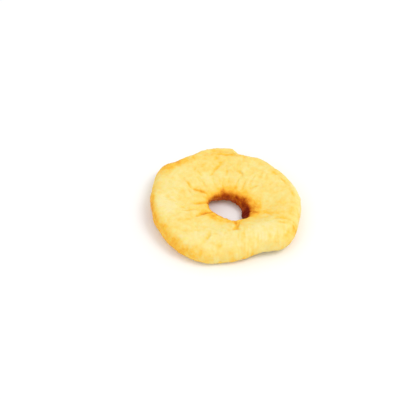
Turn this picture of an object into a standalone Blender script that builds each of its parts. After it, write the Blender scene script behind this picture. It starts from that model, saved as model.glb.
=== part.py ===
"""A dried apple ring: one slice of a peeled, cored apple, shrunk, puckered and curled by drying.

The slice is first modelled as it was cut, a plain ring spun from its section. Drying then moves
each of its points: the rim and the hole shrink to uneven outlines, the flesh sinks towards the
hole, and the surface creases along its normals. The underside is pressed flat where it rests.

+Z is up, the shown face is on top, and its near edge is towards -Y. The origin is on the table,
under the middle of the ring. Sizes are in millimetres until the last step makes metres.
"""

import math

import bmesh
import bpy
import numpy as np
from mathutils import Matrix, noise

# The slice as cut
CUT_RADIUS = 33.0
CUT_HOLE_RADIUS = 9.5
CUT_THICKNESS = 10.0
RIM_ROUNDING = 3.6
HOLE_ROUNDING = 2.8
CORNER_SQUARENESS = 0.85

# The dried outlines, as distances from their middles at even steps counter-clockwise from +X
RIM_RADII = (
    (28.0, 27.6, 26.8, 26.1, 26.9, 26.4, 27.8, 29.7, 30.0, 30.8, 31.8, 30.1)
    + (29.2, 28.9, 28.7, 29.2, 29.2, 29.1, 27.5, 26.9, 26.8, 30.1, 29.4, 28.0)
)
HOLE_RADII = (6.9, 6.9, 6.9, 7.2, 7.8, 9.1, 7.9, 5.6, 4.8, 5.5, 5.8, 6.9)
HOLE_CENTRE = (2.1, -3.5)

# The dried ring's thickness, and how far out from the hole its face stands highest
RIM_THICKNESS = 8.3
HOLE_THICKNESS = 6.5
CREST_PLACE = 0.8
OUTER_FALL = 0.35
UNDERSIDE_DISH = 0.5
PRESSED_DEPTH = 0.3

# Each swell is (direction in degrees, half width in degrees, rise)
RIM_CORNERS = ((142, 6, 1.4),)
THICKNESS_SWELLS = ((-50, 50, 0.9), (150, 45, -0.5))
HOLE_LEANS = ((8, 58, 4.8), (140, 45, -2.6))
CREST_SWELLS = ((-55, 40, -0.36), (80, 50, -0.12), (-100, 25, -0.12), (148, 30, -0.06))
FALL_SWELLS = ((-55, 38, 1.9), (80, 50, 0.5), (-100, 28, 1.2), (148, 26, 1.3))
RIM_LIFTS = ((62, 32, 0.9), (172, 38, 0.8), (-52, 26, 1.5))

# The lip turned up at the far edge, and the groove inside it
LIP_FROM, LIP_TO = 84, 122
LIP_REACH, LIP_RISE = 1.7, 0.4
GROOVE_INSET, GROOVE_HALF_WIDTH, GROOVE_DEPTH = 4.0, 0.8, 0.7

# Relief on the dried flesh: sizes of its lumps, numbers of its folds, and their heights
BROAD_SIZE, BROAD_HEIGHT = 13.0, 0.4
SMALL_SIZE, SMALL_HEIGHT = 5.0, 0.13
WRINKLE_SIZE, WRINKLE_DEPTH = 9.0, 0.35
PUCKERS_ROUND, PUCKER_DEPTH, PUCKER_REACH = 2.4, 0.22, 0.2
FLUTES_ROUND, FLUTE_DEPTH = 9.0, 0.22
SEED_STEP = 37.7

# Each fold of the top face is (half width, rise, points along it), and a crease has a fall
FOLDS = {
    "ridge along the near edge": (3.0, 0.5, ((-1.5, -18.6), (5.5, -18.9), (13.5, -16.5), (22.6, -14.8))),
    "valley inside the ridge": (2.2, -0.35, ((9.1, -12.6), (13.6, -8.6), (18.4, -10.2), (22.1, -11.4))),
    "notch under the hole": (0.9, -0.65, ((2.4, -10.2), (3.5, -13.7), (3.6, -16.9))),
    "bent crease": (0.8, -0.75, ((-16.4, 9.6), (-13.1, 6.5), (-10.8, 4.7), (-8.3, 3.9), (-6.6, 2.6))),
    "far crease": (0.8, -0.45, ((-6.9, 12.5), (-4.5, 16.7), (-1.6, 20.5))),
    "crease into the hole's left end": (0.8, -0.35, ((-13.2, -3.1), (-9.1, -1.8), (-6.4, -0.9))),
    "faint crease under it": (0.8, -0.3, ((-16.4, -7.8), (-12.7, -6.6), (-10.5, -6.3))),
    "crease into the hole's near side": (0.8, -0.45, ((-10.0, -9.1), (-8.5, -7.5), (-5.2, -5.4))),
    "near crease": (0.8, -0.45, ((-5.8, -17.9), (-6.7, -20.7), (-7.8, -22.8))),
    "crease fanning right": (0.8, -0.3, ((12.1, -4.5), (13.6, -4.0), (17.3, -7.2), (19.4, -7.9))),
    "longer crease fanning right": (0.8, -0.25, ((12.6, -7.6), (15.8, -7.6), (19.8, -10.8), (22.6, -11.7))),
    "rim's inner line": (0.8, -0.25, ((22.9, 9.1), (24.7, 4.4), (25.4, -1.3), (26.0, -4.0))),
}

# Steps of the mesh: round the ring, across each face, and in each rounded corner
STEPS_ROUND = 132
STEPS_ACROSS = 12
STEPS_RIM_CORNER = 6
STEPS_HOLE_CORNER = 4

FLESH_COLOUR = (0.93, 0.70, 0.27, 1.0)
FLESH_ROUGHNESS = 0.55


def ease(low, high, value):
    """0 up to low, 1 from high on, and a smooth step in between."""
    share = np.clip((value - low) / (high - low), 0, 1)
    return share * share * (3 - 2 * share)


def bell(distance, width):
    """1 at no distance, falling smoothly to almost nothing at twice the width."""
    return np.exp(-((distance / width) ** 2))


def curve(before, start, end, after, share):
    """The point at a share of the way from start to end, on a curve through all four."""
    return (
        start
        + (end - before) * share / 2
        + (before - 2.5 * start + 2 * end - after / 2) * share**2
        + (1.5 * (start - end) + (after - before) / 2) * share**3
    )


def all_round(azimuth, sizes):
    """A size that passes smoothly through those set at even steps of direction."""
    sizes = np.array(sizes)
    place = azimuth / math.tau * len(sizes)
    step = np.floor(place).astype(int)
    near = (sizes[(step + side) % len(sizes)] for side in (-1, 0, 1, 2))
    return curve(*near, place - step)


def towards(azimuth, plain, swells):
    """A size that is plain all round but for a swell in each listed direction."""
    size = np.full(azimuth.shape, float(plain))
    for direction, half_width, rise in swells:
        turn = (np.degrees(azimuth) - direction + 180) % 360 - 180
        size += rise * bell(turn, half_width)
    return size


def lumps(points, size, seed):
    """Smooth random relief between about -1 and 1, in lumps of the given size."""
    return np.array([noise.noise(point) for point in (points / size + seed * SEED_STEP).tolist()])


def corner(centre, reach, start, steps):
    """A quarter turn of the section from the start angle, without its last point."""
    points = []
    for step in range(steps):
        angle = math.radians(start + 90 * step / steps)
        across = math.copysign(abs(math.cos(angle)) ** CORNER_SQUARENESS, math.cos(angle))
        up = math.copysign(abs(math.sin(angle)) ** CORNER_SQUARENESS, math.sin(angle))
        points.append((centre + reach * across, CUT_THICKNESS / 2 * up))
    return points


def cut_section():
    """The slice's section as (radius, height) points, counter-clockwise from its outer wall."""
    near_rim = CUT_RADIUS - RIM_ROUNDING
    near_hole = CUT_HOLE_RADIUS + HOLE_ROUNDING
    face = np.linspace(near_rim, near_hole, STEPS_ACROSS, endpoint=False)
    return (
        corner(near_rim, RIM_ROUNDING, 0, STEPS_RIM_CORNER)
        + [(radius, CUT_THICKNESS / 2) for radius in face]
        + corner(near_hole, HOLE_ROUNDING, 90, STEPS_HOLE_CORNER)
        + corner(near_hole, HOLE_ROUNDING, 180, STEPS_HOLE_CORNER)
        + [(near_rim + near_hole - radius, -CUT_THICKNESS / 2) for radius in face]
        + corner(near_rim, RIM_ROUNDING, 270, STEPS_RIM_CORNER)
    )


def cut_slice(name):
    """The ring as cut, spun from its section."""
    shape = bmesh.new()
    section = [shape.verts.new((radius, 0, height)) for radius, height in cut_section()]
    loop = [shape.edges.new(pair) for pair in zip(section, section[1:] + section[:1])]
    bmesh.ops.spin(
        shape,
        geom=section + loop,
        axis=(0, 0, 1),
        angle=math.tau,
        steps=STEPS_ROUND,
        use_merge=True,
    )
    bmesh.ops.recalc_face_normals(shape, faces=shape.faces)
    mesh = bpy.data.meshes.new(name)
    shape.to_mesh(mesh)
    shape.free()
    return mesh


def read(mesh, what):
    """The mesh's points ("co") or the normals at them ("normal")."""
    values = np.empty(len(mesh.vertices) * 3)
    mesh.vertices.foreach_get(what, values)
    return values.reshape(-1, 3)


def move(mesh, points):
    mesh.vertices.foreach_set("co", points.ravel())
    mesh.update()


class Place:
    """Where each point lies in the slice: its direction, its share of the way out, its level."""

    def __init__(self, cut):
        self.azimuth = np.arctan2(cut[:, 1], cut[:, 0])
        self.heading = np.stack([np.cos(self.azimuth), np.sin(self.azimuth)], axis=1)
        radius = np.hypot(cut[:, 0], cut[:, 1])
        self.out = (radius - CUT_HOLE_RADIUS) / (CUT_RADIUS - CUT_HOLE_RADIUS)
        self.level = cut[:, 2] / (CUT_THICKNESS / 2)

    def wheel(self, scale):
        """The directions as points of a circle, so that relief read there runs radially."""
        return np.column_stack([self.heading * scale, np.zeros(len(self.heading))])


def lip(azimuth):
    """1 along the lip, with a sudden end on its right and a gradual one on its left."""
    turn = np.degrees(azimuth)
    return ease(LIP_FROM - 3.5, LIP_FROM + 3.5, turn) * (1 - ease(LIP_TO - 30, LIP_TO, turn))


def dried_plan(place):
    """The dried ring seen from above: straight spokes from the hole's outline to the rim's."""
    rim_radius = all_round(place.azimuth, RIM_RADII) + LIP_REACH * lip(place.azimuth)
    rim_radius += towards(place.azimuth, 0, RIM_CORNERS)
    lean = towards(place.azimuth, 0.3, HOLE_LEANS) * (1 - place.level) / 2
    hole_radius = all_round(place.azimuth, HOLE_RADII) - lean
    rim = place.heading * rim_radius[:, None]
    hole = place.heading * hole_radius[:, None] + np.array(HOLE_CENTRE)
    spoke = np.linalg.norm(rim - hole, axis=1)
    return hole + (rim - hole) * place.out[:, None], spoke * (1 - place.out)


def dried_heights(place, plan, inset):
    """The heights of the underside and of the top face at each point of the plan."""
    crest = towards(place.azimuth, CREST_PLACE, CREST_SWELLS)
    thick = towards(place.azimuth, RIM_THICKNESS, THICKNESS_SWELLS)
    past_crest = np.clip((place.out - crest) / (1 - crest), 0, 1)
    fall = towards(place.azimuth, OUTER_FALL, FALL_SWELLS) * past_crest**2
    curl = towards(place.azimuth, 0, RIM_LIFTS) * ease(0.2, 1, place.out)
    rise = LIP_RISE * lip(place.azimuth) * (1 - ease(0, GROOVE_INSET, inset))
    flat = np.column_stack([plan, np.zeros(len(plan))])
    under = curl + UNDERSIDE_DISH * (1 - place.out) + BROAD_HEIGHT * lumps(flat, BROAD_SIZE, 1)
    sunk = (thick - HOLE_THICKNESS) * (1 - ease(-0.1, crest, place.out))
    top = curl + thick - sunk - fall + rise + BROAD_HEIGHT * lumps(flat, BROAD_SIZE, 2)
    return under, top


def fold(plan, points, half_width):
    """1 on the line of a fold, fading to its sides and its two ends."""
    knots = np.array([points[0], *points, points[-1]])
    shares = np.linspace(0, 1, 6, endpoint=False)
    bends = [curve(*knots[n : n + 4], share) for n in range(len(points) - 1) for share in shares]
    path = np.array([*bends, points[-1]])
    height = np.zeros(len(plan))
    for step, (start, end) in enumerate(zip(path[:-1], path[1:])):
        run = end - start
        along = np.clip((plan - start) @ run / (run @ run), 0, 1)
        distance = np.linalg.norm(plan - start - along[:, None] * run, axis=1)
        fade = np.sin(math.pi * (step + along) / (len(path) - 1)) ** 0.6
        height = np.maximum(height, fade * bell(distance, half_width))
    return height


def relief(place, form, inset):
    """How far each point stands out from the dried form, along its normal."""
    on_top = ease(-0.2, 0.6, place.level)
    puckers = bell(lumps(place.wheel(PUCKERS_ROUND), 1, 3), 0.14) * bell(place.out, PUCKER_REACH)
    flutes = lumps(place.wheel(FLUTES_ROUND), 1, 4) * ease(0.6, 1, place.out)
    wrinkles = bell(lumps(form, WRINKLE_SIZE, 6), 0.09) * (1 - ease(-1, -0.7, place.level))
    groove = on_top * lip(place.azimuth) * bell(inset - GROOVE_INSET, GROOVE_HALF_WIDTH)
    height = SMALL_HEIGHT * lumps(form, SMALL_SIZE, 5) + FLUTE_DEPTH * flutes
    height -= PUCKER_DEPTH * puckers + WRINKLE_DEPTH * wrinkles + GROOVE_DEPTH * groove
    for half_width, rise, points in FOLDS.values():
        height += rise * on_top * fold(form[:, :2], points, half_width)
    return height


def settled(points):
    """The ring on the table, centred over the origin, its lowest places pressed flat."""
    low, high = points.min(axis=0), points.max(axis=0)
    points = points - ((low[0] + high[0]) / 2, (low[1] + high[1]) / 2, low[2] + PRESSED_DEPTH)
    points[:, 2] = np.maximum(points[:, 2], 0)
    return points


def dry(mesh):
    """Shrinks, sinks and creases the slice as cut."""
    place = Place(read(mesh, "co"))
    plan, inset = dried_plan(place)
    under, top = dried_heights(place, plan, inset)
    form = np.column_stack([plan, (top + under) / 2 + place.level * (top - under) / 2])
    move(mesh, form)
    move(mesh, settled(form + read(mesh, "normal") * relief(place, form, inset)[:, None]))


def flesh():
    """Pale yellow dried flesh."""
    material = bpy.data.materials.new("apple_flesh")
    material.use_nodes = True
    shader = material.node_tree.nodes["Principled BSDF"]
    shader.inputs["Base Color"].default_value = FLESH_COLOUR
    shader.inputs["Roughness"].default_value = FLESH_ROUGHNESS
    shader.inputs["Metallic"].default_value = 0.0
    return material


def apple_ring():
    mesh = cut_slice("apple_ring")
    dry(mesh)
    mesh.transform(Matrix.Scale(0.001, 4))
    mesh.shade_smooth()
    mesh.materials.append(flesh())
    bpy.context.scene.collection.objects.link(bpy.data.objects.new("apple_ring", mesh))


for old in list(bpy.data.objects):
    bpy.data.objects.remove(old)
apple_ring()
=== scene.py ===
"""The look of a dried apple ring: creased, pale yellow flesh that browns round the core hole.

The piece follows the same form as the solid, on a much finer mesh: a ring as cut, whose points
drying then moves. It adds the sharp creases, the folds in the walls and the fine grain of the
skin, and it marks how brown each point is for the material, with painted shade in the creases,
the hollows, the hole, the streaks' grooves and on walls turned from the light, and painted light
on lit edges, crests, ridges and small highlights. Sizes are in millimetres until the
mesh is made. +Z is up, and the near edge is towards -Y.
"""

import math
import random

import bpy
import numpy as np
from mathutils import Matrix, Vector, noise


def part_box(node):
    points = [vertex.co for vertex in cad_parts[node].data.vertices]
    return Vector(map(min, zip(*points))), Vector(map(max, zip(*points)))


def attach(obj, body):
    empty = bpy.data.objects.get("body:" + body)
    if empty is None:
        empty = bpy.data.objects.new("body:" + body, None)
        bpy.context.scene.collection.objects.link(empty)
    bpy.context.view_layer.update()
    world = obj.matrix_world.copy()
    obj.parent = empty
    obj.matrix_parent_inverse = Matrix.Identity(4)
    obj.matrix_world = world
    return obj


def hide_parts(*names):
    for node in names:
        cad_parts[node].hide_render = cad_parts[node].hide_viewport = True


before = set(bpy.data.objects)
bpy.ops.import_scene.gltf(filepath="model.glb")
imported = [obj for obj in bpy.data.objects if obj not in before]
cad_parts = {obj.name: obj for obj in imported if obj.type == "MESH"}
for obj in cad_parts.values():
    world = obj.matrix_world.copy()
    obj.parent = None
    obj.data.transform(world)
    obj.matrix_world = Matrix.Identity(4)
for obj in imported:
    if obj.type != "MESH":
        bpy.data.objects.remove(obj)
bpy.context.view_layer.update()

NODE = "apple_ring"
METRE = 0.001

# The slice as cut
CUT_RADIUS = 33.0
CUT_HOLE_RADIUS = 9.5
CUT_THICKNESS = 10.0
RIM_ROUNDING = 3.6
HOLE_ROUNDING = 2.8
CORNER_SQUARENESS = 0.85
HOLE_SHARE = HOLE_ROUNDING / (CUT_RADIUS - CUT_HOLE_RADIUS)

# The dried outlines, as distances from their middles at even steps counter-clockwise from +X
RIM_RADII = (
    *(28.0, 27.6, 26.8, 26.1, 26.9, 26.4, 27.8, 29.7, 30.0, 30.8, 31.8, 30.1),
    *(29.2, 28.9, 28.7, 29.2, 29.2, 29.1, 27.5, 26.9, 26.8, 30.1, 29.4, 28.0),
)
HOLE_RADII = (6.9, 6.9, 6.9, 7.2, 7.8, 9.1, 7.9, 5.6, 4.8, 5.5, 5.8, 6.9)
HOLE_CENTRE = (2.1, -3.5)
HOLE_LEAN = 0.3

# The dried ring's thickness, and how far out from the hole its face stands highest
RIM_THICKNESS = 8.3
HOLE_THICKNESS = 6.5
CREST_PLACE = 0.8
SINK_PLACE = -0.1
CURL_PLACE = 0.2
OUTER_FALL = 0.35
UNDERSIDE_DISH = 0.5
PRESSED_DEPTH = 0.3

# Each swell is (direction in degrees, half width in degrees, rise)
RIM_CORNERS = ((142, 6, 1.4),)
THICKNESS_SWELLS = ((-50, 50, 0.9), (150, 45, -0.5))
HOLE_LEANS = ((8, 58, 4.8), (140, 45, -2.6))
CREST_SWELLS = ((-55, 40, -0.36), (80, 50, -0.12), (-100, 25, -0.12), (148, 30, -0.06))
FALL_SWELLS = ((-55, 38, 1.9), (80, 50, 0.5), (-100, 28, 1.2), (148, 26, 1.3))
RIM_LIFTS = ((62, 32, 0.9), (172, 38, 0.8), (-52, 26, 1.5))

# The lip turned up at the far edge, with its ends in degrees, and the groove inside it
LIP_FROM, LIP_TO = 84, 122
LIP_SUDDEN_END, LIP_GRADUAL_END = 3.5, 30
LIP_REACH, LIP_RISE = 1.7, 0.4
GROOVE_INSET, GROOVE_HALF_WIDTH, GROOVE_DEPTH = 4.0, 0.6, 0.8

# Levels run from -1 at the underside to 1 at the face, and each pair is where a part starts and
# where it is whole. The underside's pair counts downwards from the middle
TOP_LEVELS = (-0.2, 0.6)
FACE_LEVELS = (0.2, 0.9)
UPPER_EDGE_LEVELS = (0, 0.5)
WALL_LEVELS = (-1, -0.7)
STREAK_LEVELS = (-1, -0.6)
UNDERSIDE_DEPTHS = (0.5, 0.9)

# Shares of the way out from the hole to the rim, in the same kind of pairs
HOLE_WALL_SHARES = (0.02, 0.2)
OUTER_SHARES = (0.5, 0.9)
FLUTE_SHARES = (0.6, 1)
SLOPE_BEFORE_CREST, STREAKS_AFTER_CREST = 0.05, 0.1

# Relief on the dried flesh: sizes of its lumps, numbers of its folds, and their heights
BROAD_SIZE, BROAD_HEIGHT = 13.0, 0.4
SMALL_SIZE, SMALL_HEIGHT = 5.0, 0.13
WRINKLE_SIZE, WRINKLE_DEPTH = 9.0, 0.35
PUCKERS_ROUND, PUCKER_DEPTH, PUCKER_REACH = 2.4, 0.22, 0.2
FLUTES_ROUND, FLUTE_DEPTH = 9.0, 0.22
FINE_FLUTES_ROUND, FINE_FLUTE_DEPTH = 24.0, 0.2
NEAR_FLUTE_SIZE, NEAR_FLUTES = 0.8, ((-65, 35, 1.0),)
HOLE_FOLDS_ROUND, HOLE_FOLD_DEPTH = 4.5, 0.2
HOLE_RING_SIZE, HOLE_RING_DEPTH = 2.2, 0.1
DIMPLE_SIZE, DIMPLE_DEPTH = 2.2, 0.12
FINE_WRINKLE_SIZE, FINE_WRINKLE_DEPTH = 3.4, 0.08
PIT_SIZE, PIT_DEPTH, PIT_LUMPS = 1.3, 0.06, (0.2, 0.6)
GRAIN_SIZE, GRAIN_HEIGHT = 0.8, 0.025
WANDER_SIZE, WANDER = 2.2, 0.45

# A line of relief follows where its lumps pass through 0, and is this wide in their height
PUCKER_LINE, WRINKLE_LINE, FINE_WRINKLE_LINE = 0.14, 0.09, 0.1
HOLE_FOLD_LINE, HOLE_RING_LINE = 0.2, 0.2

# How far relief changes on its way down a wall, and how much lumps are drawn out along each axis
FINE_FLUTE_DROP, HOLE_FOLD_DROP = 0.7, 0.6
NEAR_FLUTE_SQUEEZE, HOLE_RING_SQUEEZE = (1, 0.12, 0.12), (0.3, 0.3, 1)

# Each kind of relief or patch has its own seed, and the step keeps their noises apart
SEED_STEP = 37.7
BROAD_UNDER_SEED, BROAD_TOP_SEED, PUCKER_SEED, FLUTE_SEED = 1, 2, 3, 4
SMALL_SEED, WRINKLE_SEED, FINE_FLUTE_SEED, HOLE_FOLD_SEED = 5, 6, 7, 8
HOLE_RING_SEED, PIT_SEED, GRAIN_SEED, NEAR_FLUTE_SEED = 9, 10, 11, 12
WANDER_SEEDS, STRENGTH_SEED, DIMPLE_SEED, FINE_WRINKLE_SEED = (14, 15), 16, 17, 18
STREAK_GROUP_SEED, PATCH_SEEDS = 19, (20, 21, 22)

# A fold is drawn with some bends from point to point, fades towards its ends by a power of a
# sine, and is worked out only within some half widths of its line
FOLD_BENDS, FOLD_FADE, FOLD_SPAN = 6, 0.6, 3

# A crease is stronger and weaker along its line, and less so on the outer slope
STRENGTH_SIZE, STRENGTH_MEAN, STRENGTH_SPREAD, STRENGTH_LIMITS = 2.8, 0.85, 0.9, (0.15, 1.3)
SLOPE_CREASE_LOSS, SLOPE_HOLLOW_LOSS = 0.6, 0.5
FULL_CREASE_DEPTH, HOLLOW_LIMITS = 0.6, (-0.1, 0.3)

# Faint creases that run outwards from the hole at random
FAINT_CREASES = 110
FAINT_CREASE_STARTS = (9, 24)
FAINT_CREASE_LENGTHS = (2.0, 9.0)
FAINT_CREASE_WIDTHS = (0.3, 0.6)
FAINT_CREASE_DEPTHS = (0.05, 0.2)
FAINT_CREASE_SLANT, FAINT_CREASE_BEND, FAINT_CREASE_PARTS = 0.35, 0.2, 2
TOP_CREASE_SEED, UNDER_CREASE_SEED = 11, 12

# Each fold of the top face is (half width, rise, points along it), and a crease has a fall
BROAD_FOLDS = {
    "ridge along the near edge": (3.0, 0.5, ((-1.5, -18.6), (5.5, -18.9), (13.5, -16.5), (22.6, -14.8))),
    "valley inside the ridge": (2.2, -0.35, ((9.1, -12.6), (13.6, -8.6), (18.4, -10.2), (22.1, -11.4))),
}
CREASES = {
    "notch under the hole": (0.85, -0.57, ((2.4, -10.2), (3.2, -12.0), (3.5, -13.7), (3.6, -16.9))),
    "branch of the notch": (0.5, -0.25, ((5.0, -11.2), (4.1, -13.9), (3.6, -14.8))),
    "foot of the notch": (0.8, -0.4, ((1.7, -17.7), (3.2, -17.1), (4.9, -17.6))),
    "bent crease": (
        0.5,
        -0.55,
        ((-17.0, 10.6), (-15.6, 9.0), (-14.4, 7.1), (-12.7, 5.7), (-10.7, 5.1), (-8.9, 4.4), (-6.9, 2.9)),
    ),
    "far crease": (0.7, -0.4, ((-6.9, 12.5), (-5.7, 14.3), (-4.5, 16.7), (-2.4, 19.4), (-1.6, 20.5))),
    "crease into the hole's left end": (
        0.55,
        -0.4,
        ((-13.8, -2.3), (-11.4, -1.8), (-9.2, -1.3), (-6.4, -0.6)),
    ),
    "faint crease under it": (0.5, -0.4, ((-17.0, -7.0), (-14.8, -6.5), (-12.7, -5.8), (-10.5, -5.6))),
    "crease into the hole's near side": (
        0.6,
        -0.38,
        ((-11.8, -10.2), (-10.2, -8.3), (-7.6, -6.7), (-5.2, -5.8)),
    ),
    "near crease": (0.65, -0.5, ((-5.8, -17.9), (-6.4, -19.5), (-6.7, -20.7), (-7.8, -22.8))),
    "crease fanning right": (
        0.5,
        -0.13,
        ((12.1, -4.5), (13.6, -4.0), (15.5, -5.4), (17.3, -7.2), (19.4, -7.9)),
    ),
    "longer crease fanning right": (
        0.5,
        -0.17,
        ((12.6, -7.6), (14.4, -6.5), (15.8, -7.6), (17.7, -9.2), (19.8, -10.8), (22.6, -11.7)),
    ),
    "last crease fanning right": (0.5, -0.3, ((18.4, -12.9), (20.1, -13.6), (22.8, -13.8))),
    "corner of the ridge": (0.5, -0.6, ((21.4, -15.9), (21.7, -17.2), (21.9, -19.2), (22.1, -20.8))),
    "fleck on the near slope": (0.5, -0.3, ((12.0, -19.6), (13.3, -20.1), (14.6, -21.1))),
    "rim's inner line": (
        0.5,
        -0.35,
        ((16.9, 14.6), (19.2, 12.6), (21.5, 9.9), (23.2, 6.9), (24.7, 3.4), (25.5, -0.8), (26.0, -4.0)),
    ),
    "groove inside the lip": (
        0.5,
        -0.5,
        ((-5.0, 24.6), (-3.1, 24.4), (-0.4, 24.0), (2.0, 23.8), (4.6, 23.0)),
    ),
    "fleck beyond the hole": (0.55, -0.65, ((3.2, 14.8), (4.2, 14.3), (5.2, 13.6), (5.4, 12.3))),
    "line to the hole's far end": (0.45, -0.28, ((7.4, 11.8), (6.8, 9.8), (6.2, 8.1), (5.8, 6.0))),
    "fold at the hole's far right": (0.5, -0.35, ((8.5, 6.7), (10.2, 7.1), (11.9, 7.3))),
    "wrinkle right of the hole": (0.45, -0.25, ((9.6, 1.2), (10.6, -0.6), (11.5, -2.2))),
    "second wrinkle": (0.45, -0.25, ((10.2, -1.8), (11.0, -3.2), (12.0, -4.0))),
    "third wrinkle": (0.45, -0.18, ((10.0, -4.4), (10.8, -5.6), (11.6, -6.6))),
}

# How brown the flesh is, from 0 for the palest to 1 for the core's dark brown. Creases and hollows get
# painted shade on the same scale
FACE_BROWN = 0.21
CREASE_SHADE = 0.2
HOLLOW_SHADE = 0.35
PATCH_BROWN, PATCH_SIZES, HOLE_PATCH_SHARE = 0.1, (8.0, 3.2, 1.5), 0.4

# The rim's browning is by direction, as the swells of the form are, and grows as it faces
# outwards. It is partly the edge's own browning and partly painted shade on the walls turned from
# the light, and the band inside the rim, strongest along the upper left, is painted shade with
# some browning. Insets from the rim are measured as if the flesh were this wide all round
FLESH_WIDTH = 22
RIM_BROWNS_AND_SHADE = ((187, 22, 0.51), (230, 20, 0.34), (-78, 30, 0.1), (-33, 14, 0.14))
OUTWARD_FACING = (0.25, 1)
BAND_BROWNS_AND_SHADE = ((137, 15, 0.44), (60, 30, 0.12), (-15, 28, 0.13))
BAND_WIDTH, BAND_EDGES, BAND_WALL_SHARE = 5.0, (0.7, 1.3), 0.5

# Where the rim's outer half faces down, it is made darker and browner. On the outer half of the
# ring, browning past DARK_RIM is divided, so that no part there is as dark as the hole
LOW_EDGE_BROWN, DOWNWARD_FACING = 0.14, (-0.35, 0.7)
DARK_RIM, DARK_RIM_DIVISOR, RIM_HALF = 0.6, 2, 0.5

# Painted highlights on lit stretches of the rim's edge, and painted light on the crests inside it that face
# the light, with their insets and half widths
LIT_EDGES, LIT_EDGE_INSET, LIT_EDGE_WIDTH = ((114, 11, -0.14), (13, 23, -0.16)), 0.8, 1.4
LIT_CRESTS, LIT_CREST_INSET, LIT_CREST_WIDTH = ((175, 45, -0.08), (-55, 25, -0.07)), 5, 1.8

# Streaks run down the outer slope: a few all round, more where they are listed, and in groups.
# Their colour is painted shade in their grooves and painted light on their ridges
STREAK_SHADE_AND_LIGHT, STREAK_SHARE, STREAKS = 0.31, 0.2, ((-55, 32, 0.8),)
STREAK_GROUPS, STREAK_GROUP_MEAN, STREAK_GROUP_SPREAD = 5.0, 0.5, 2

# The hole's browning is by depth down its wall: 0 at the face and 1 at the underside. Down the
# wall the core's brown is deepened by painted shade, and more painted shade is added on its right
HOLE_DEPTHS = (0.0, 0.03, 0.1, 0.17, 0.26, 0.9, 1.0)
HOLE_BROWNS_AND_SHADE = (0.46, 0.58, 0.7, 0.79, 0.875, 0.9, 0.5)
HOLE_EDGE_REACH = 0.13
HOLE_NEAR_SHARE, HOLE_FAR_SHARES = 0.85, ((60, 90, 0.15),)
HOLE_RIGHT_SHADE, HOLE_RIGHT_DEPTHS = ((-12, 32, 0.26),), (0.1, 0.26)

# Each stain is (x, y, half width, browning), and a pale spot has a negative browning. Most are
# stains and pale spots of the flesh, but some pale spots are painted light where the face tilts
# towards the light, and some are painted highlights
STAINS_AND_PAINTED_LIGHT = (
    (-5.0, 22.0, 7.0, 0.17),
    (-2.2, 5.7, 1.3, 0.2),
    (-2.0, 7.5, 1.0, -0.14),
    (-1.2, 5.6, 1.5, 0.1),
    (10.9, -3.0, 2.0, 0.08),
    (9.9, -5.9, 1.3, 0.2),
    (-1.9, -9.9, 1.6, 0.16),
    (0.7, -11.0, 1.6, 0.12),
    (4.9, -12.0, 1.8, 0.08),
    (21.5, -5.0, 4.0, 0.1),
    (20.5, -12.0, 2.8, 0.1),
    (13.5, -22.3, 2.5, -0.12),
    (-22.6, 13.6, 1.8, 0.12),
    (-11.5, -25.0, 2.5, 0.08),
    # Painted highlight below the notch's foot
    (1.8, -19.2, 1.5, -0.1),
    (3.2, -16.8, 1.4, 0.2),
    (-5.4, -8.2, 1.7, 0.3),
    (-8.8, -8.0, 2.0, 0.09),
    (17.0, -7.0, 5.0, 0.08),
    (-12.0, -3.0, 5.0, 0.15),
    # These two are painted light on the left face, which tilts towards the light
    (-21.0, -5.0, 6.0, -0.12),
    (-19.0, 7.0, 5.0, -0.08),
    (-10.0, -21.0, 5.0, -0.12),
    (2.0, -21.5, 4.0, -0.08),
    (14.0, -16.5, 4.0, -0.12),
    # Painted highlight on the ridge's corner
    (21.8, -15.3, 1.1, -0.16),
    # Painted highlight on a small bump
    (10.2, 5.2, 1.2, -0.15),
    (-2.6, -25.0, 1.0, 0.26),
    (24.2, -6.4, 1.5, -0.16),
    (25.4, -10.0, 1.9, -0.17),
    (20.5, -9.5, 2.5, 0.06),
    (-9.2, -0.4, 3.6, -0.13),
    (-5.8, 7.0, 2.6, -0.16),
    (-15.5, 9.0, 0.9, 0.08),
    (-14.2, 7.2, 0.9, 0.08),
    (5.0, 7.6, 2.8, -0.16),
    (6.7, -15.1, 2.4, 0.08),
    (-3.2, -12.6, 2.2, 0.05),
    (-15.5, -12.2, 3.5, 0.05),
    (-17.0, 2.6, 3.5, 0.06),
    (-27.0, -8.8, 1.3, -0.1),
    (-14.5, -24.7, 1.5, -0.07),
    (-10.8, -26.5, 1.3, -0.07),
    (6.2, 11.3, 1.2, 0.08),
    (20.8, -0.9, 1.6, 0.07),
)

# The flesh's colour at each step of its browning, which carries the painted shade and light too
BROWNING_AND_SHADE_COLOURS = {
    0.0: (0.865, 0.735, 0.335),
    0.2: (0.855, 0.69, 0.235),
    0.35: (0.875, 0.63, 0.155),
    0.5: (0.91, 0.54, 0.06),
    0.65: (0.86, 0.39, 0.03),
    0.78: (0.62, 0.185, 0.005),
    0.88: (0.42, 0.07, 0.001),
    1.0: (0.15, 0.008, 0.0005),
}

# The flesh's mottle shifts its browning and roughness, and its bump is a fine grain over cells.
# Scales are in lumps for each metre
MOTTLE_SCALE, MOTTLE_DETAIL, MOTTLE_ROUGHNESS = 500.0, 5.0, 0.8
MOTTLE_BROWNS = (-0.27, 0.27)
FLESH_ROUGHNESSES = (0.45, 0.65)
BUMP_GRAIN_SCALE, BUMP_GRAIN_DETAIL, BUMP_CELL_SCALE = 1400.0, 3.0, 1100.0
BUMP_STRENGTH, BUMP_DISTANCE = 0.25, 0.0002
FLESH_SPECULAR = 0.09
SUBSURFACE_WEIGHT, SUBSURFACE_SCALE, SUBSURFACE_RADII = 0.3, 0.002, (1.0, 0.55, 0.15)

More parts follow.
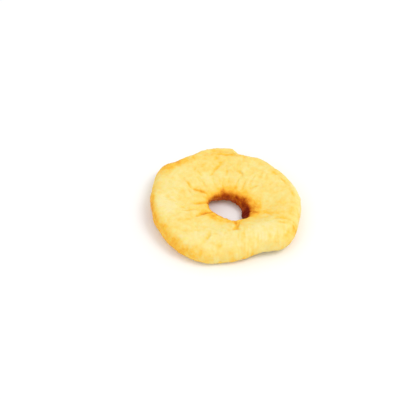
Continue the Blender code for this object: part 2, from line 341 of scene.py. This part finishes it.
# Steps of the mesh: round the ring, and along its section's faces and rounded corners
STEPS_ROUND = 700
STEPS_TOP, STEPS_UNDER = 66, 18
STEPS_RIM_TOP, STEPS_RIM_UNDER = 22, 10
STEPS_HOLE_TOP, STEPS_HOLE_UNDER = 16, 10

# The floor and the lights, in metres and watts: each light is (place, width, power)
FLOOR_HALF_WIDTH = 3.0
FLOOR_COLOUR, FLOOR_ROUGHNESS = (0.93, 0.93, 0.93, 1), 0.8
ROOM_COLOUR, ROOM_STRENGTH = (1, 1, 1, 1), 0.85
LIGHTS = {
    "key": ((0.55, -0.1, 0.85), 0.45, 3.25),
    "fill": ((-0.6, -0.7, 0.6), 0.6, 1.3),
}

# The camera looks down at the ring, which is right of and a little below the picture's middle
CAMERA_ELEVATION = 45.0
CAMERA_DISTANCE = 0.5
NEAREST_SEEN, FARTHEST_SEEN = 0.01, 10
PICTURE_WIDTH = 400
PIXELS_PER_METRE = 2610.0
ORIGIN_PIXEL = (225.4, 210.4)
SENSOR_WIDTH = 36.0


def ease(low, high, value):
    """0 up to low, 1 from high on, and a smooth step in between."""
    share = np.clip((value - low) / (high - low), 0, 1)
    return share * share * (3 - 2 * share)


def bell(distance, width):
    """1 at no distance, falling smoothly to almost nothing at twice the width."""
    return np.exp(-((distance / width) ** 2))


def curve(before, start, end, after, share):
    """The point at a share of the way from start to end, on a curve through all four."""
    return (
        start
        + (end - before) * share / 2
        + (before - 2.5 * start + 2 * end - after / 2) * share**2
        + (1.5 * (start - end) + (after - before) / 2) * share**3
    )


def all_round(azimuth, sizes):
    """A size that passes smoothly through those set at even steps of direction."""
    sizes = np.array(sizes)
    place = azimuth / math.tau * len(sizes)
    step = np.floor(place).astype(int)
    near = (sizes[(step + side) % len(sizes)] for side in (-1, 0, 1, 2))
    return curve(*near, place - step)


def towards(azimuth, plain, swells):
    """A size that is plain all round but for a swell in each listed direction."""
    size = np.full(azimuth.shape, float(plain))
    for direction, half_width, rise in swells:
        turn = (np.degrees(azimuth) - direction + 180) % 360 - 180
        size += rise * bell(turn, half_width)
    return size


def lumps(points, size, seed):
    """Smooth random relief between about -1 and 1, in lumps of the given size."""
    return np.array([noise.noise(point) for point in (points / size + seed * SEED_STEP).tolist()])


def corner(centre, reach, start, steps):
    """A quarter turn of the section from the start angle, without its last point."""
    points = []
    for step in range(steps):
        angle = math.radians(start + 90 * step / steps)
        across = math.copysign(abs(math.cos(angle)) ** CORNER_SQUARENESS, math.cos(angle))
        up = math.copysign(abs(math.sin(angle)) ** CORNER_SQUARENESS, math.sin(angle))
        points.append((centre + reach * across, CUT_THICKNESS / 2 * up))
    return points


def cut_section():
    """The slice's section as (radius, height) points, counter-clockwise from its outer wall."""
    near_rim = CUT_RADIUS - RIM_ROUNDING
    near_hole = CUT_HOLE_RADIUS + HOLE_ROUNDING
    top = np.linspace(near_rim, near_hole, STEPS_TOP, endpoint=False)
    under = np.linspace(near_hole, near_rim, STEPS_UNDER, endpoint=False)
    return np.array(
        corner(near_rim, RIM_ROUNDING, 0, STEPS_RIM_TOP)
        + [(radius, CUT_THICKNESS / 2) for radius in top]
        + corner(near_hole, HOLE_ROUNDING, 90, STEPS_HOLE_TOP)
        + corner(near_hole, HOLE_ROUNDING, 180, STEPS_HOLE_UNDER)
        + [(radius, -CUT_THICKNESS / 2) for radius in under]
        + corner(near_rim, RIM_ROUNDING, 270, STEPS_RIM_UNDER)
    )


class Slice:
    """The slice as cut: a mesh spun from its section, and where each of its points lies."""

    def __init__(self, name):
        radius, height = cut_section().T
        angle = np.arange(STEPS_ROUND) * math.tau / STEPS_ROUND
        angle[angle > math.pi] -= math.tau
        self.azimuth = np.repeat(angle, len(radius))
        self.heading = np.stack([np.cos(self.azimuth), np.sin(self.azimuth)], axis=1)
        radius, height = np.tile(radius, STEPS_ROUND), np.tile(height, STEPS_ROUND)
        self.out = (radius - CUT_HOLE_RADIUS) / (CUT_RADIUS - CUT_HOLE_RADIUS)
        self.level = height / (CUT_THICKNESS / 2)
        self.mesh = bpy.data.meshes.new(name)
        points = np.column_stack([self.heading * radius[:, None], height])
        self.mesh.from_pydata(points, [], self.quads(len(points) // STEPS_ROUND).tolist())

    def quads(self, section_size):
        """The faces, as the numbers of their four points."""
        index = np.arange(STEPS_ROUND * section_size).reshape(STEPS_ROUND, section_size)
        ahead = np.roll(index, -1, axis=0)
        corners = (index, ahead, np.roll(ahead, -1, axis=1), np.roll(index, -1, axis=1))
        return np.stack([corner.ravel() for corner in corners], axis=1)

    def wheel(self, scale, drop=0.0):
        """The directions as points of a circle, so that relief read there runs radially."""
        return np.column_stack([self.heading * scale, self.level * drop])

    def move(self, points):
        self.mesh.vertices.foreach_set("co", points.ravel())
        self.mesh.update()

    def normals(self):
        values = np.empty(len(self.azimuth) * 3)
        self.mesh.vertices.foreach_get("normal", values)
        return values.reshape(-1, 3)

    def mark(self, name, values):
        """Keeps a value at each point for the material to read."""
        self.mesh.attributes.new(name, "FLOAT", "POINT").data.foreach_set("value", values)


def lip(azimuth):
    """1 along the lip, with a sudden end on its right and a gradual one on its left."""
    turn = np.degrees(azimuth)
    right_end = ease(LIP_FROM - LIP_SUDDEN_END, LIP_FROM + LIP_SUDDEN_END, turn)
    return right_end * (1 - ease(LIP_TO - LIP_GRADUAL_END, LIP_TO, turn))


def crest_place(cut):
    """How far out from the hole the face stands highest, in each point's direction."""
    return towards(cut.azimuth, CREST_PLACE, CREST_SWELLS)


def on_top(cut):
    """1 on the face and the upper part of both walls."""
    return ease(*TOP_LEVELS, cut.level)


def on_face(cut):
    """1 on the face alone."""
    return ease(*FACE_LEVELS, cut.level)


def on_slope(cut):
    """1 at the rim, from none just inside the crest."""
    return ease(crest_place(cut) - SLOPE_BEFORE_CREST, 1, cut.out)


def on_hole_wall(cut):
    return 1 - ease(*HOLE_WALL_SHARES, cut.out)


def dried_plan(cut):
    """The dried ring seen from above, and how far inside the rim each point lies."""
    rim_radius = all_round(cut.azimuth, RIM_RADII) + LIP_REACH * lip(cut.azimuth)
    rim_radius += towards(cut.azimuth, 0, RIM_CORNERS)
    lean = towards(cut.azimuth, HOLE_LEAN, HOLE_LEANS) * (1 - cut.level) / 2
    hole_radius = all_round(cut.azimuth, HOLE_RADII) - lean
    rim = cut.heading * rim_radius[:, None]
    hole = cut.heading * hole_radius[:, None] + np.array(HOLE_CENTRE)
    spoke = np.linalg.norm(rim - hole, axis=1)
    return hole + (rim - hole) * cut.out[:, None], spoke * (1 - cut.out)


def dried_heights(cut, plan, inset):
    """The heights of the underside and of the top face at each point of the plan."""
    crest = crest_place(cut)
    thick = towards(cut.azimuth, RIM_THICKNESS, THICKNESS_SWELLS)
    past_crest = np.clip((cut.out - crest) / (1 - crest), 0, 1)
    fall = towards(cut.azimuth, OUTER_FALL, FALL_SWELLS) * past_crest**2
    curl = towards(cut.azimuth, 0, RIM_LIFTS) * ease(CURL_PLACE, 1, cut.out)
    rise = LIP_RISE * lip(cut.azimuth) * (1 - ease(0, GROOVE_INSET, inset))
    flat = np.column_stack([plan, np.zeros(len(plan))])
    under = curl + UNDERSIDE_DISH * (1 - cut.out) + BROAD_HEIGHT * lumps(flat, BROAD_SIZE, BROAD_UNDER_SEED)
    sunk = (thick - HOLE_THICKNESS) * (1 - ease(SINK_PLACE, crest, cut.out))
    top = curl + thick - sunk - fall + rise + BROAD_HEIGHT * lumps(flat, BROAD_SIZE, BROAD_TOP_SEED)
    return under, top


def fold(plan, points, half_width):
    """The points beside a fold, and how near each is: 1 on its line, fading to its sides and ends."""
    knots = np.array([points[0], *points, points[-1]])
    shares = np.linspace(0, 1, FOLD_BENDS, endpoint=False)
    bends = [curve(*knots[n : n + 4], share) for n in range(len(points) - 1) for share in shares]
    path = np.array([*bends, points[-1]])
    span = FOLD_SPAN * half_width
    low, high = path.min(axis=0) - span, path.max(axis=0) + span
    beside = np.flatnonzero(np.all((plan > low) & (plan < high), axis=1))
    plan = plan[beside]
    line = np.zeros(len(plan))
    for step, (start, end) in enumerate(zip(path[:-1], path[1:])):
        run = end - start
        along = np.clip((plan - start) @ run / (run @ run), 0, 1)
        distance = np.linalg.norm(plan - start - along[:, None] * run, axis=1)
        fade = np.sin(math.pi * (step + along) / (len(path) - 1)) ** FOLD_FADE
        line = np.maximum(line, fade * bell(distance, half_width))
    return beside, line


def one_step(turn, length):
    """The step of a given length in the direction of a turn, seen from above."""
    return length * np.array([math.cos(turn), math.sin(turn)])


def faint_creases(seed):
    """Short creases at random, each a line that leads out from the hole."""
    chance = random.Random(seed)
    for _ in range(FAINT_CREASES):
        direction = chance.uniform(0, math.tau)
        turn = direction + chance.gauss(0, FAINT_CREASE_SLANT)
        start = chance.uniform(*FAINT_CREASE_STARTS)
        length = chance.uniform(*FAINT_CREASE_LENGTHS)
        point = np.array(HOLE_CENTRE) + one_step(direction, start)
        points = [point]
        for _ in range(FAINT_CREASE_PARTS):
            turn += chance.gauss(0, FAINT_CREASE_BEND)
            point = point + one_step(turn, length / FAINT_CREASE_PARTS)
            points.append(point)
        yield chance.uniform(*FAINT_CREASE_WIDTHS), -chance.uniform(*FAINT_CREASE_DEPTHS), points


def broad_relief(cut, form, inset):
    """The lumps, puckers and broad folds, which the solid has too."""
    top = on_top(cut)
    pucker_lines = bell(lumps(cut.wheel(PUCKERS_ROUND), 1, PUCKER_SEED), PUCKER_LINE)
    puckers = pucker_lines * bell(cut.out, PUCKER_REACH)
    flutes = lumps(cut.wheel(FLUTES_ROUND), 1, FLUTE_SEED) * ease(*FLUTE_SHARES, cut.out)
    wrinkle_lines = bell(lumps(form, WRINKLE_SIZE, WRINKLE_SEED), WRINKLE_LINE)
    wrinkles = wrinkle_lines * (1 - ease(*WALL_LEVELS, cut.level))
    groove = top * lip(cut.azimuth) * bell(inset - GROOVE_INSET, GROOVE_HALF_WIDTH)
    height = SMALL_HEIGHT * lumps(form, SMALL_SIZE, SMALL_SEED) + FLUTE_DEPTH * flutes
    height -= PUCKER_DEPTH * puckers + WRINKLE_DEPTH * wrinkles + GROOVE_DEPTH * groove
    for half_width, rise, points in BROAD_FOLDS.values():
        beside, line = fold(form[:, :2], points, half_width)
        height[beside] += rise * top[beside] * line
    return height


def streaks(cut, form):
    """Uneven lines that run down the outer slope, some in groups and some alone."""
    crest = crest_place(cut)
    near = towards(cut.azimuth, 0, NEAR_FLUTES)
    radial = lumps(cut.wheel(FINE_FLUTES_ROUND, FINE_FLUTE_DROP), 1, FINE_FLUTE_SEED)
    straight = lumps(form * NEAR_FLUTE_SQUEEZE, NEAR_FLUTE_SIZE, NEAR_FLUTE_SEED)
    groups = lumps(form, STREAK_GROUPS, STREAK_GROUP_SEED)
    grouped = np.clip(STREAK_GROUP_MEAN + STREAK_GROUP_SPREAD * groups, 0, 1)
    past_crest = ease(crest - SLOPE_BEFORE_CREST, crest + STREAKS_AFTER_CREST, cut.out)
    return (radial + near * (straight - radial)) * grouped * (past_crest * ease(*STREAK_LEVELS, cut.level))


def skin_relief(cut, form):
    """The fine flutes of the outer slope, and the pits, dimples, grain and wrinkles of the skin."""
    fine_flutes = streaks(cut, form) * on_slope(cut)
    pits = ease(*PIT_LUMPS, lumps(form, PIT_SIZE, PIT_SEED))
    dimples = lumps(form, DIMPLE_SIZE, DIMPLE_SEED)
    grain = lumps(form, GRAIN_SIZE, GRAIN_SEED)
    wrinkles = bell(lumps(form, FINE_WRINKLE_SIZE, FINE_WRINKLE_SEED), FINE_WRINKLE_LINE)
    height = FINE_FLUTE_DEPTH * fine_flutes - PIT_DEPTH * pits
    height += DIMPLE_DEPTH * dimples + GRAIN_HEIGHT * grain
    height -= FINE_WRINKLE_DEPTH * wrinkles * (1 - on_hole_wall(cut))
    return height


def add_creases(cut, form, height):
    """Cuts every crease into the heights, and gives how strongly each point lies in one."""
    wander = [lumps(form, WANDER_SIZE, seed) for seed in WANDER_SEEDS]
    plan = form[:, :2] + WANDER * np.column_stack(wander)
    uneven = STRENGTH_MEAN + STRENGTH_SPREAD * lumps(form, STRENGTH_SIZE, STRENGTH_SEED)
    strength = np.clip(uneven, *STRENGTH_LIMITS) * (1 - SLOPE_CREASE_LOSS * on_slope(cut))
    top, underside = on_top(cut), ease(*UNDERSIDE_DEPTHS, -cut.level)
    above = [(top, *crease) for crease in (*CREASES.values(), *faint_creases(TOP_CREASE_SEED))]
    below = [(underside, *crease) for crease in faint_creases(UNDER_CREASE_SEED)]
    creases = np.zeros(len(form))
    for side, half_width, rise, points in above + below:
        beside, line = fold(plan, points, half_width)
        line *= strength[beside] * side[beside]
        height[beside] += rise * line
        creases[beside] = np.maximum(creases[beside], line * min(1, -rise / FULL_CREASE_DEPTH))
    return creases


def fine_relief(cut, form):
    """The finer relief, and how strongly each point lies in a crease and in a hollow of it."""
    height = skin_relief(cut, form)
    creases = add_creases(cut, form, height)
    hollow = np.clip(-height, *HOLLOW_LIMITS) * (1 - SLOPE_HOLLOW_LOSS * on_slope(cut))
    wall = on_hole_wall(cut)
    folds = bell(lumps(cut.wheel(HOLE_FOLDS_ROUND, HOLE_FOLD_DROP), 1, HOLE_FOLD_SEED), HOLE_FOLD_LINE) * wall
    rings = bell(lumps(form * HOLE_RING_SQUEEZE, HOLE_RING_SIZE, HOLE_RING_SEED), HOLE_RING_LINE) * wall
    return height - HOLE_FOLD_DEPTH * folds - HOLE_RING_DEPTH * rings, creases, hollow


def settled(points):
    """The ring pressed flat where it rests, and centred in the solid's box."""
    low, high = points.min(axis=0), points.max(axis=0)
    solid_low, solid_high = (np.array(corner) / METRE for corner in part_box(NODE))
    middle = ((low + high) - (solid_low + solid_high)) / 2
    points = points - (middle[0], middle[1], low[2] + PRESSED_DEPTH)
    points[:, 2] = np.maximum(points[:, 2], 0)
    return points


def rim_browning_shade_and_light(cut, normals, inset):
    """How much browner or paler the rim is than the face, direction by direction: browning, painted shade on
    walls turned from the light, and painted light on lit edges and crests.
    """
    outward = (normals[:, :2] * cut.heading).sum(axis=1)
    # Browning of the walls, with painted shade on those turned from the light
    yield towards(cut.azimuth, 0, RIM_BROWNS_AND_SHADE) * ease(*OUTWARD_FACING, outward)
    yield LOW_EDGE_BROWN * ease(*DOWNWARD_FACING, -normals[:, 2]) * ease(*OUTER_SHARES, cut.out)
    # A band inside the rim, browned and painted with shade, most along the upper left
    wall_and_face = BAND_WALL_SHARE + (1 - BAND_WALL_SHARE) * on_face(cut)
    band = (1 - ease(*BAND_EDGES, inset / BAND_WIDTH)) * wall_and_face
    yield towards(cut.azimuth, 0, BAND_BROWNS_AND_SHADE) * band
    # Painted highlights on lit stretches of the edge, and painted light on crests that face the light
    lit_edge = bell(inset - LIT_EDGE_INSET, LIT_EDGE_WIDTH)
    yield towards(cut.azimuth, 0, LIT_EDGES) * lit_edge * ease(*UPPER_EDGE_LEVELS, cut.level)
    lit_crest = bell(inset - LIT_CREST_INSET, LIT_CREST_WIDTH)
    yield towards(cut.azimuth, 0, LIT_CRESTS) * lit_crest * on_face(cut)


def hole_browning_and_shade(cut, in_hole):
    """How much browner the hole's wall is than the face, with painted shade deepening it down the wall and on
    its right side, and the faces' edges round it.
    """
    share = towards(cut.azimuth, HOLE_NEAR_SHARE, HOLE_FAR_SHARES)
    depth = (1 - cut.level) / 2
    wall = np.interp(depth, HOLE_DEPTHS, HOLE_BROWNS_AND_SHADE) - FACE_BROWN
    # Painted shade on the right side of the hole's wall
    wall += towards(cut.azimuth, 0, HOLE_RIGHT_SHADE) * ease(*HOLE_RIGHT_DEPTHS, depth)
    edge = (HOLE_BROWNS_AND_SHADE[0] - FACE_BROWN) * bell(cut.out - HOLE_SHARE, HOLE_EDGE_REACH)
    return share * np.where(in_hole, wall, edge)


def browning_and_shade(cut, form, normals, creases, hollow):
    """How brown each point is, painted shade and light included: most in the hole, some on the rim, and
    painted shade in the creases and hollows.
    """
    # Painted shade in the creases and in the hollows of the relief
    shade = FACE_BROWN + CREASE_SHADE * creases + HOLLOW_SHADE * hollow
    for rise in rim_browning_shade_and_light(cut, normals, FLESH_WIDTH * (1 - cut.out)):
        shade += rise
    # Painted shade in the streaks' grooves and painted light on their ridges
    shade -= STREAK_SHADE_AND_LIGHT * towards(cut.azimuth, STREAK_SHARE, STREAKS) * streaks(cut, form)
    in_hole = cut.out < HOLE_SHARE
    spot_reach = np.where(in_hole, on_face(cut), 1)
    # Stains, with painted light and highlights among the pale spots
    for x, y, half_width, rise in STAINS_AND_PAINTED_LIGHT:
        shade += rise * spot_reach * bell(np.hypot(form[:, 0] - x, form[:, 1] - y), half_width)
    patches = sum(lumps(form, size, seed) for size, seed in zip(PATCH_SIZES, PATCH_SEEDS))
    shade += PATCH_BROWN * patches * np.where(in_hole, HOLE_PATCH_SHARE, 1)
    too_dark = np.maximum(shade - DARK_RIM, 0) / DARK_RIM_DIVISOR
    shade -= np.where(cut.out > RIM_HALF, too_dark, 0)
    return shade + hole_browning_and_shade(cut, in_hole)


def dried_ring():
    """The whole ring, with how brown each point is marked, painted shade and light included."""
    cut = Slice("dried_apple_ring")
    plan, inset = dried_plan(cut)
    under, top = dried_heights(cut, plan, inset)
    form = np.column_stack([plan, (top + under) / 2 + cut.level * (top - under) / 2])
    cut.move(form)
    normals = cut.normals()
    fine, creases, hollow = fine_relief(cut, form)
    height = broad_relief(cut, form, inset) + fine
    cut.mark("browning_and_shade", browning_and_shade(cut, form, normals, creases, hollow))
    cut.move(settled(form + normals * height[:, None]) * METRE)
    cut.mesh.shade_smooth()
    return bpy.data.objects.new("dried_apple_ring", cut.mesh)


class Nodes:
    """A material's nodes, added and joined in one call each."""

    def __init__(self, name):
        self.material = bpy.data.materials.new(name)
        self.material.use_nodes = True
        self.tree = self.material.node_tree
        self.shader = self.tree.nodes["Principled BSDF"]

    def add(self, kind, settings=(), **inputs):
        """A node with its settings, whose inputs are values or other nodes' outputs."""
        node = self.tree.nodes.new(kind)
        for name, value in dict(settings).items():
            setattr(node, name, value)
        for name, value in inputs.items():
            self.join(node, name.replace("_", " "), value)
        return node

    def join(self, node, name, value):
        """Sets an input, given by its name or its number, to a value or another node's output."""
        socket = node.inputs[int(name)] if name.isdigit() else node.inputs[name]
        if isinstance(value, bpy.types.NodeSocket):
            self.tree.links.new(value, socket)
        else:
            socket.default_value = value

    def finish(self, **inputs):
        """Sets the shader's own inputs."""
        for name, value in inputs.items():
            self.join(self.shader, name.replace("_", " "), value)
        return self.material

    def sum(self, first, second):
        """The sum of two outputs."""
        return self.add("ShaderNodeMath", {"operation": "ADD"}, **{"0": first, "1": second}).outputs["Value"]

    def between(self, value, low, high):
        """An output that runs from 0 to 1, spread from low to high instead."""
        return self.add("ShaderNodeMapRange", Value=value, To_Min=low, To_Max=high).outputs["Result"]


def browned_and_shaded_colour(nodes, brown):
    """The flesh's colour at each step from pale to dark brown, painted shade and light included."""
    ramp = nodes.add("ShaderNodeValToRGB", Fac=brown)
    stops = ramp.color_ramp.elements
    # New stops start between the first and the last, and are then placed in order
    while len(stops) < len(BROWNING_AND_SHADE_COLOURS):
        stops.new(0.5)
    for stop, (place_on_ramp, colour) in zip(stops, BROWNING_AND_SHADE_COLOURS.items()):
        stop.position = place_on_ramp
        stop.color = (*colour, 1)
    return ramp.outputs["Color"]


def flesh_bump(nodes, place):
    """A fine grain over small rounded cells."""
    grain = nodes.add(
        "ShaderNodeTexNoise", Vector=place, Scale=BUMP_GRAIN_SCALE, Detail=BUMP_GRAIN_DETAIL
    )
    cells = nodes.add(
        "ShaderNodeTexVoronoi", {"feature": "SMOOTH_F1"}, Vector=place, Scale=BUMP_CELL_SCALE
    )
    height = nodes.sum(grain.outputs["Fac"], cells.outputs["Distance"])
    bump = nodes.add("ShaderNodeBump", Height=height, Strength=BUMP_STRENGTH, Distance=BUMP_DISTANCE)
    return bump.outputs["Normal"]


def flesh():
    """Dried flesh: mottled, browned and painted with shade and light where it is marked, slightly see-through
    and softly glossy.
    """
    nodes = Nodes("dried_flesh")
    place = nodes.add("ShaderNodeTexCoord").outputs["Object"]
    # The marked value holds the flesh's browning together with painted shade and painted light
    brown = nodes.add("ShaderNodeAttribute", {"attribute_name": "browning_and_shade"}).outputs["Fac"]
    mottle = nodes.add(
        "ShaderNodeTexNoise",
        Vector=place,
        Scale=MOTTLE_SCALE,
        Detail=MOTTLE_DETAIL,
        Roughness=MOTTLE_ROUGHNESS,
    ).outputs["Fac"]
    return nodes.finish(
        Base_Color=browned_and_shaded_colour(nodes, nodes.sum(brown, nodes.between(mottle, *MOTTLE_BROWNS))),
        Roughness=nodes.between(mottle, *FLESH_ROUGHNESSES),
        Normal=flesh_bump(nodes, place),
        Specular_IOR_Level=FLESH_SPECULAR,
        Subsurface_Weight=SUBSURFACE_WEIGHT,
        Subsurface_Radius=SUBSURFACE_RADII,
        Subsurface_Scale=SUBSURFACE_SCALE,
    )


def floor():
    """A plain pale square, at the height on which the ring rests."""
    mesh = bpy.data.meshes.new("floor")
    half = FLOOR_HALF_WIDTH
    corners = [(-half, -half, 0), (half, -half, 0), (half, half, 0), (-half, half, 0)]
    mesh.from_pydata(corners, [], [(0, 1, 2, 3)])
    mesh.materials.append(Nodes("floor_white").finish(Base_Color=FLOOR_COLOUR, Roughness=FLOOR_ROUGHNESS))
    return bpy.data.objects.new("floor", mesh)


def add_to_scene(thing):
    bpy.context.scene.collection.objects.link(thing)
    return thing


def soft_light(name, place, width, power):
    """A square light that faces the ring."""
    light = bpy.data.lights.new(name, "AREA")
    light.size = width
    light.energy = power
    lamp = add_to_scene(bpy.data.objects.new(name, light))
    lamp.location = place
    lamp.rotation_euler = (-Vector(place)).to_track_quat("-Z", "Y").to_euler()


def surroundings():
    """A white room with soft studio light."""
    world = bpy.data.worlds.new("white_room")
    world.use_nodes = True
    background = world.node_tree.nodes["Background"]
    background.inputs["Color"].default_value = ROOM_COLOUR
    background.inputs["Strength"].default_value = ROOM_STRENGTH
    bpy.context.scene.world = world
    for name, (place, width, power) in LIGHTS.items():
        soft_light(name, place, width, power)
    bpy.context.scene.view_settings.view_transform = "Standard"


def camera():
    """The camera, aimed so that the ring's origin falls on its pixel of the picture."""
    tilt = math.radians(CAMERA_ELEVATION)
    back = Vector((0, -math.cos(tilt), math.sin(tilt)))
    right = Vector((1, 0, 0))
    up = Vector((0, math.sin(tilt), math.cos(tilt)))
    middle = PICTURE_WIDTH / 2
    aim = (middle - ORIGIN_PIXEL[0]) * right + (ORIGIN_PIXEL[1] - middle) * up
    lens = bpy.data.cameras.new("camera")
    lens.sensor_width = SENSOR_WIDTH
    lens.lens = SENSOR_WIDTH * PIXELS_PER_METRE * CAMERA_DISTANCE / PICTURE_WIDTH
    lens.clip_start, lens.clip_end = NEAREST_SEEN, FARTHEST_SEEN
    eye = add_to_scene(bpy.data.objects.new("camera", lens))
    eye.location = back * CAMERA_DISTANCE
    eye.rotation_euler = (aim / PIXELS_PER_METRE - eye.location).to_track_quat("-Z", "Y").to_euler()
    bpy.context.scene.camera = eye


ring = add_to_scene(dried_ring())
ring.data.materials.append(flesh())
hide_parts(NODE)
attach(ring, "root")
add_to_scene(floor())
surroundings()
camera()
